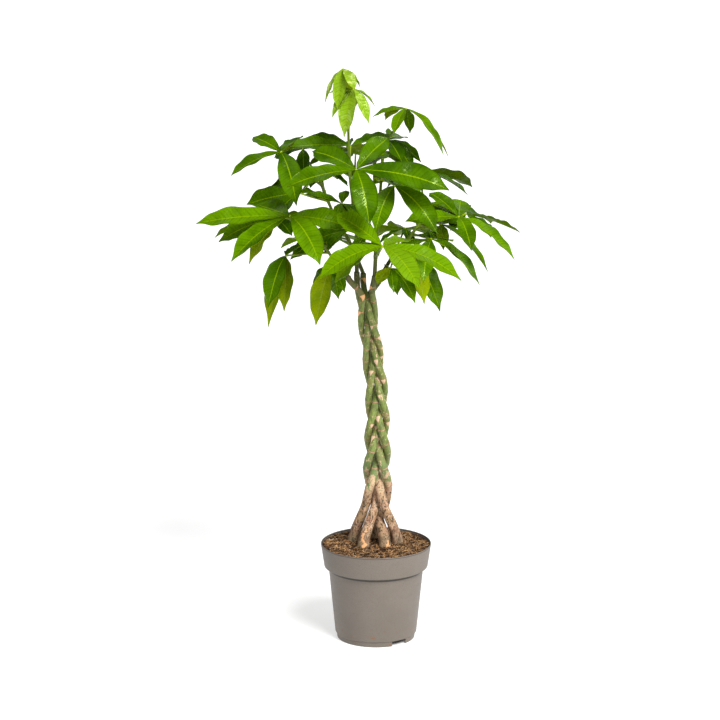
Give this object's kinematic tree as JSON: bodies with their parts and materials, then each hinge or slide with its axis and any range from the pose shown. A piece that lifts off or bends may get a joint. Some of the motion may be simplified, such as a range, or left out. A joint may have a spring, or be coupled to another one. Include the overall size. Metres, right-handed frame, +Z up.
{
  "type": "potted money tree",
  "caption": "Plaited money tree with a crown of palmate leaves, standing in a round plastic nursery pot.",
  "frame": {"origin": "centre of the pot's base, on the surface it stands on", "axes": "+Z up along the pot's axis, -Y to the front, +X to the right seen from the front"},
  "size_m": [0.5489, 0.469, 0.9922],
  "materials": {
    "pot_plastic": "matte taupe, moulded",
    "soil": "coarse fibrous potting mix",
    "bark": "smooth young bark, brown below and green above",
    "leaf": "glossy green blade with paler veins"
  },
  "bodies": {
    "root": {"pot": "pot_plastic", "soil": "soil", "stem_1": "bark", "stem_2": "bark", "stem_3": "bark", "stem_4": "bark", "stem_5": "bark", "leafy_shoot_1": "leaf", "leafy_shoot_2": "leaf", "leafy_shoot_3": "leaf", "leafy_shoot_4": "leaf", "leafy_shoot_5": "leaf"}
  },
  "joints": []
}
